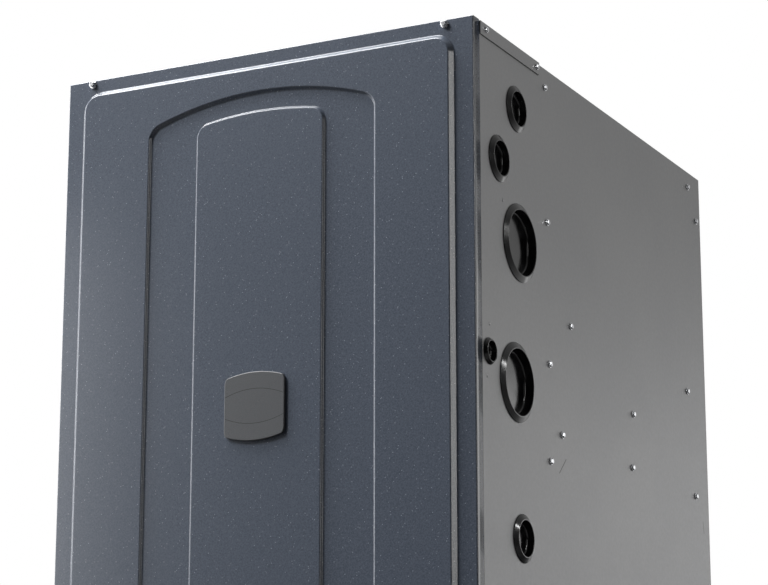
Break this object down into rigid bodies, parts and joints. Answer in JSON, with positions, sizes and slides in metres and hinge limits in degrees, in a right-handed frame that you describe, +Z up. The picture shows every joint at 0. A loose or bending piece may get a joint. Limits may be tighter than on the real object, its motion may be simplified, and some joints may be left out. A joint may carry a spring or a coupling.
{
  "type": "forced air gas furnace",
  "caption": "Upright sheet-steel warm-air gas furnace with an arched pressed door, plugged side openings, burners, heat exchanger, draught fan, gas valve, controls and a blower inside.",
  "frame": {"origin": "centre of the overall footprint, on the floor", "axes": "+Z up, -Y out of the door, +X to the viewer's right when facing the door"},
  "size_m": [0.542, 0.7334, 0.8636],
  "materials": {
    "painted_steel": "blue-grey fine-textured powder coat",
    "galvanised_steel": "plain grey zinc-coated sheet",
    "bright_steel": "bright zinc plating",
    "stainless_steel": "satin stainless",
    "dark_metal": "dark enamel",
    "cast_alloy": "as cast",
    "black_plastic": "glossy black",
    "grey_plastic": "fine matt",
    "white_plastic": "smooth",
    "foil_insulation": "foil facing on fibre",
    "circuit_board": "solder mask",
    "ceramic": "unglazed",
    "rubber": "matt"
  },
  "bodies": {
    "casing": {"pressure_switch": "grey_plastic", "side_panel_left": "galvanised_steel", "side_panel_right": "galvanised_steel", "back_panel": "galvanised_steel", "top_front_plate": "galvanised_steel", "base_frame": "galvanised_steel", "blower_deck": "galvanised_steel", "vest_panel": "galvanised_steel", "burner_box": "galvanised_steel", "blower_housing": "galvanised_steel", "motor_mount": "galvanised_steel", "control_panel": "galvanised_steel", "burner_1": "stainless_steel", "burner_2": "stainless_steel", "burner_3": "stainless_steel", "burner_4": "stainless_steel", "primary_tube_1": "stainless_steel", "primary_tube_2": "stainless_steel", "primary_tube_3": "stainless_steel", "primary_tube_4": "stainless_steel", "secondary_coil": "stainless_steel", "rear_header": "stainless_steel", "gas_manifold": "dark_metal", "inducer_motor": "dark_metal", "blower_motor": "dark_metal", "transformer": "dark_metal", "gas_valve": "cast_alloy", "pipe_upper_plug_left": "black_plastic", "pipe_upper_plug_right": "black_plastic", "pipe_lower_plug_left": "black_plastic", "pipe_lower_plug_right": "black_plastic", "vent_upper_plug_left": "black_plastic", "vent_upper_plug_right": "black_plastic", "vent_lower_plug_left": "black_plastic", "vent_lower_plug_right": "black_plastic", "wiring_plug_left": "black_plastic", "wiring_plug_right": "black_plastic", "drain_plug_left": "black_plastic", "drain_plug_right": "black_plastic", "rollout_switch": "black_plastic", "front_header": "black_plastic", "condensate_trap": "black_plastic", "inducer_housing": "black_plastic", "door_switch": "black_plastic", "vent_pipe": "white_plastic", "intake_pipe": "white_plastic", "insulation_liner": "foil_insulation", "control_board": "circuit_board", "igniter": "ceramic", "flame_sensor": "ceramic", "pressure_hose": "rubber"},
    "door": {"front_door": "painted_steel", "door_badge": "grey_plastic", "door_screw_left": "bright_steel", "door_screw_right": "bright_steel"},
    "blower_rotor": {"blower_wheel": "galvanised_steel"},
    "inducer_rotor": {"inducer_wheel": "grey_plastic"},
    "gas_knob": {"gas_valve_knob": "black_plastic"},
    "switch_plunger": {"door_switch_plunger": "white_plastic"},
    "reset_button": {"rollout_reset_button": "bright_steel"}
  },
  "joints": [
    {"name": "door_pull", "type": "slide", "parent": "casing", "child": "door", "axis": [0, -1, 0], "range_m": [0, 0.4]},
    {"name": "blower_spin", "type": "hinge", "parent": "casing", "child": "blower_rotor", "pos_m": [0, 0.0438, 0.198], "axis": [1, 0, 0], "continuous": true},
    {"name": "inducer_spin", "type": "hinge", "parent": "casing", "child": "inducer_rotor", "pos_m": [-0.148, -0.2262, 0.482], "axis": [0, 1, 0], "continuous": true},
    {"name": "gas_knob_turn", "type": "hinge", "parent": "casing", "child": "gas_knob", "pos_m": [0.237, -0.3222, 0.728], "axis": [0, -1, 0], "range_deg": [0, 90]},
    {"name": "plunger_travel", "type": "slide", "parent": "casing", "child": "switch_plunger", "axis": [0, -1, 0], "range_m": [0, 0.004]},
    {"name": "reset_press", "type": "slide", "parent": "casing", "child": "reset_button", "axis": [0, 0, -1], "range_m": [0, 0.002], "stiffness_N_per_m": 200, "springref_m": -0.0005}
  ],
  "couplings": [
    {"joint": "plunger_travel", "follows": "door_pull", "ratio": 0.01}
  ]
}
